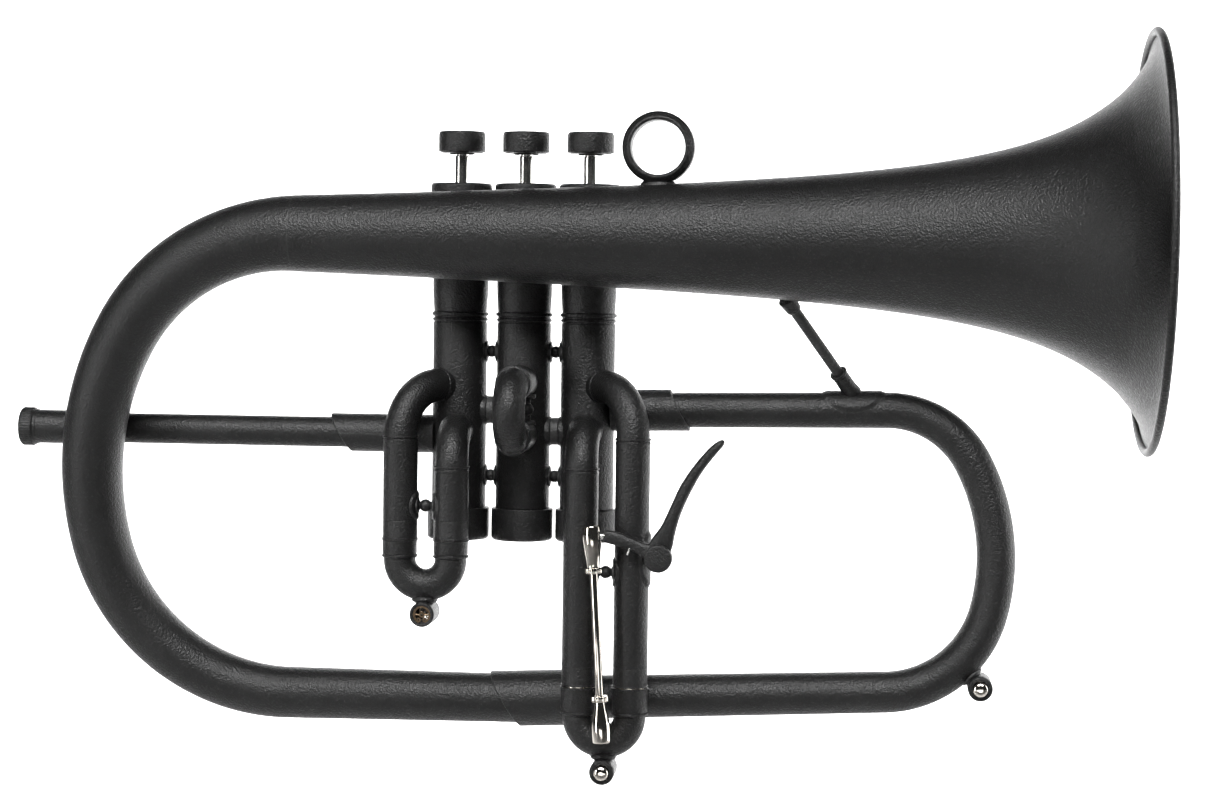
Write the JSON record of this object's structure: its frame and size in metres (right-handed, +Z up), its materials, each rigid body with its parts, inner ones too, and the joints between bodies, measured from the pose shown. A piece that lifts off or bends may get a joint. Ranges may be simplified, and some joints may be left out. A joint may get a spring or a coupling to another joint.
{
  "type": "flugelhorn",
  "caption": "Conical-bore valved brass horn with a wide flared bell, finger-button pistons, pull-out tuning slides and a finger-operated slide trigger, in matte black.",
  "frame": {"origin": "centre of the mouthpiece receiver's open end, on the leadpipe axis", "axes": "+X along the leadpipe and bell axis towards the bell mouth, +Z up along the valves towards the finger buttons, -Y towards the side that carries the bell and the slides"},
  "size_m": [0.4235, 0.1524, 0.2768],
  "materials": {
    "black_powder_coat": "fine sandy matte black powder coat",
    "steel_stem": "bright turned steel",
    "monel_piston": "lapped monel",
    "spring_steel": "drawn wire",
    "nickel_silver_tube": "lapped nickel silver",
    "polished_nickel": "mirror polished nickel plate",
    "plated_plunger": "polished plate",
    "bronze_clip": "dull phosphor bronze",
    "guide_plastic": "moulded nylon"
  },
  "bodies": {
    "horn": {"bell": "black_powder_coat", "bell_rim": "black_powder_coat", "bell_supports": "black_powder_coat", "rear_bow": "black_powder_coat", "bow_ferrule": "black_powder_coat", "front_bow": "black_powder_coat", "front_ferrule": "black_powder_coat", "leadpipe_sleeve": "black_powder_coat", "valve_casing_1": "black_powder_coat", "valve_casing_2": "black_powder_coat", "valve_casing_3": "black_powder_coat", "top_caps": "black_powder_coat", "bottom_caps": "black_powder_coat", "valve_guides": "guide_plastic", "valve_knuckles": "black_powder_coat", "ball_braces": "black_powder_coat", "first_elbows": "black_powder_coat", "first_outer_legs": "black_powder_coat", "second_outer_legs": "black_powder_coat", "third_elbows": "black_powder_coat", "third_outer_legs": "black_powder_coat", "finger_ring": "black_powder_coat", "bell_brace": "black_powder_coat", "bell_brace_flanges": "black_powder_coat", "trigger_saddle": "black_powder_coat", "trigger_pivot_screw": "black_powder_coat", "trigger_spring": "spring_steel", "main_water_key_body": "black_powder_coat", "main_water_key_clip": "bronze_clip", "piston_spring_1": "spring_steel", "piston_spring_2": "spring_steel", "piston_spring_3": "spring_steel"},
    "leadpipe_assembly": {"leadpipe": "black_powder_coat", "mouthpiece_receiver": "black_powder_coat"},
    "valve_1": {"piston_1": "monel_piston", "valve_stem_1": "steel_stem", "finger_button_1": "black_powder_coat"},
    "valve_2": {"piston_2": "monel_piston", "valve_stem_2": "steel_stem", "finger_button_2": "black_powder_coat"},
    "valve_3": {"piston_3": "monel_piston", "valve_stem_3": "steel_stem", "finger_button_3": "black_powder_coat"},
    "first_slide": {"first_slide_crook": "black_powder_coat", "first_slide_inner_legs": "nickel_silver_tube", "first_water_key_body": "black_powder_coat", "first_water_key_clip": "bronze_clip"},
    "second_slide": {"second_slide_crook": "black_powder_coat", "second_slide_inner_legs": "nickel_silver_tube"},
    "third_slide": {"third_slide_crook": "black_powder_coat", "third_slide_inner_legs": "nickel_silver_tube", "third_link_stud": "polished_nickel", "third_water_key_body": "black_powder_coat", "third_water_key_clip": "bronze_clip"},
    "trigger": {"trigger_lever": "black_powder_coat"},
    "link": {"link_rod": "polished_nickel", "link_sockets": "polished_nickel"},
    "main_key_button": {"main_water_key_plunger": "plated_plunger"},
    "first_key_button": {"first_water_key_plunger": "plated_plunger"},
    "third_key_button": {"third_water_key_plunger": "plated_plunger"}
  },
  "joints": [
    {"name": "leadpipe_tuning", "type": "slide", "parent": "horn", "child": "leadpipe_assembly", "axis": [-1, 0, 0], "range_m": [0, 0.022]},
    {"name": "valve_1_press", "type": "slide", "parent": "horn", "child": "valve_1", "axis": [0, 0, -1], "range_m": [0, 0.011], "stiffness_N_per_m": 120, "springref_m": -0.015, "deforming": ["piston_spring_1"]},
    {"name": "valve_2_press", "type": "slide", "parent": "horn", "child": "valve_2", "axis": [0, 0, -1], "range_m": [0, 0.011], "stiffness_N_per_m": 120, "springref_m": -0.015, "deforming": ["piston_spring_2"]},
    {"name": "valve_3_press", "type": "slide", "parent": "horn", "child": "valve_3", "axis": [0, 0, -1], "range_m": [0, 0.011], "stiffness_N_per_m": 120, "springref_m": -0.015, "deforming": ["piston_spring_3"]},
    {"name": "first_slide_pull", "type": "slide", "parent": "horn", "child": "first_slide", "axis": [0, 0, -1], "range_m": [0, 0.02]},
    {"name": "second_slide_pull", "type": "slide", "parent": "horn", "child": "second_slide", "axis": [0, -1, 0], "range_m": [0, 0.01]},
    {"name": "trigger_squeeze", "type": "hinge", "parent": "horn", "child": "trigger", "pos_m": [0.2483, -0.034, -0.0416], "axis": [0, -1, 0], "range_deg": [0, 35.2], "stiffness_Nm_per_rad": 0.1, "springref_deg": -34.38},
    {"name": "third_slide_throw", "type": "slide", "parent": "horn", "child": "third_slide", "axis": [0, 0, -1], "range_m": [0, 0.01568]},
    {"name": "link_swing", "type": "hinge", "parent": "trigger", "child": "link", "pos_m": [0.2239, -0.034, -0.03386], "axis": [0, -1, 0], "range_deg": [-35.7, 0.5]},
    {"name": "main_key_press", "type": "slide", "parent": "horn", "child": "main_key_button", "axis": [0, 1, 0], "range_m": [0, 0.0025], "stiffness_N_per_m": 300, "springref_m": -0.002},
    {"name": "first_key_press", "type": "slide", "parent": "first_slide", "child": "first_key_button", "axis": [0, -1, 0], "range_m": [0, 0.0025], "stiffness_N_per_m": 300, "springref_m": -0.002},
    {"name": "third_key_press", "type": "slide", "parent": "third_slide", "child": "third_key_button", "axis": [0, 1, 0], "range_m": [0, 0.0025], "stiffness_N_per_m": 300, "springref_m": -0.002}
  ],
  "couplings": [
    {"joint": "third_slide_throw", "follows": "trigger_squeeze", "m_per_rad": 0.025199},
    {"joint": "link_swing", "follows": "trigger_squeeze", "ratio": -1}
  ]
}
